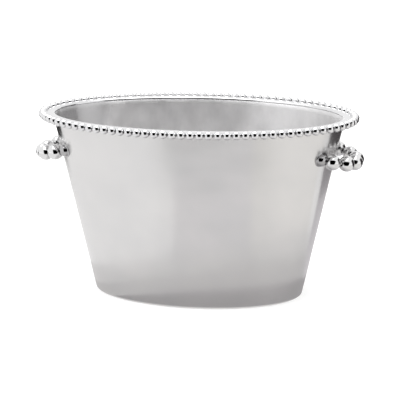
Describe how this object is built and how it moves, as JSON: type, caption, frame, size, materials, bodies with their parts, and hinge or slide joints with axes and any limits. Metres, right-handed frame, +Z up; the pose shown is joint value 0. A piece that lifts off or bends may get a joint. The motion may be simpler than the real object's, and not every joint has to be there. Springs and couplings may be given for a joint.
{
  "type": "champagne bucket",
  "caption": "Oval tapered metal champagne bucket with a flat lip, a beaded border and a fixed beaded loop handle at each end.",
  "frame": {"origin": "middle of the flat base, on the surface that the bucket stands on", "axes": "+X along the oval's length to the right handle, +Y to the back, +Z up out of the opening"},
  "size_m": [0.3738, 0.2276, 0.2116],
  "materials": {
    "satin_metal": "satin, finely brushed round the tub",
    "polished_metal": "mirror polished",
    "fixing_metal": "bright stainless steel"
  },
  "bodies": {
    "root": {"tub_wall": "satin_metal", "tub_floor": "satin_metal", "lip": "polished_metal", "border_beads": "polished_metal", "right_handle_rod": "polished_metal", "left_handle_rod": "polished_metal", "right_handle_bead_1": "polished_metal", "right_handle_bead_2": "polished_metal", "right_handle_bead_3": "polished_metal", "right_handle_bead_4": "polished_metal", "right_handle_bead_5": "polished_metal", "right_handle_bead_6": "polished_metal", "left_handle_bead_1": "polished_metal", "left_handle_bead_2": "polished_metal", "left_handle_bead_3": "polished_metal", "left_handle_bead_4": "polished_metal", "left_handle_bead_5": "polished_metal", "left_handle_bead_6": "polished_metal", "right_front_root_bead": "polished_metal", "right_back_root_bead": "polished_metal", "left_front_root_bead": "polished_metal", "left_back_root_bead": "polished_metal", "right_front_washer": "fixing_metal", "right_back_washer": "fixing_metal", "left_front_washer": "fixing_metal", "left_back_washer": "fixing_metal", "right_front_cap_nut": "fixing_metal", "right_back_cap_nut": "fixing_metal", "left_front_cap_nut": "fixing_metal", "left_back_cap_nut": "fixing_metal"}
  },
  "joints": []
}
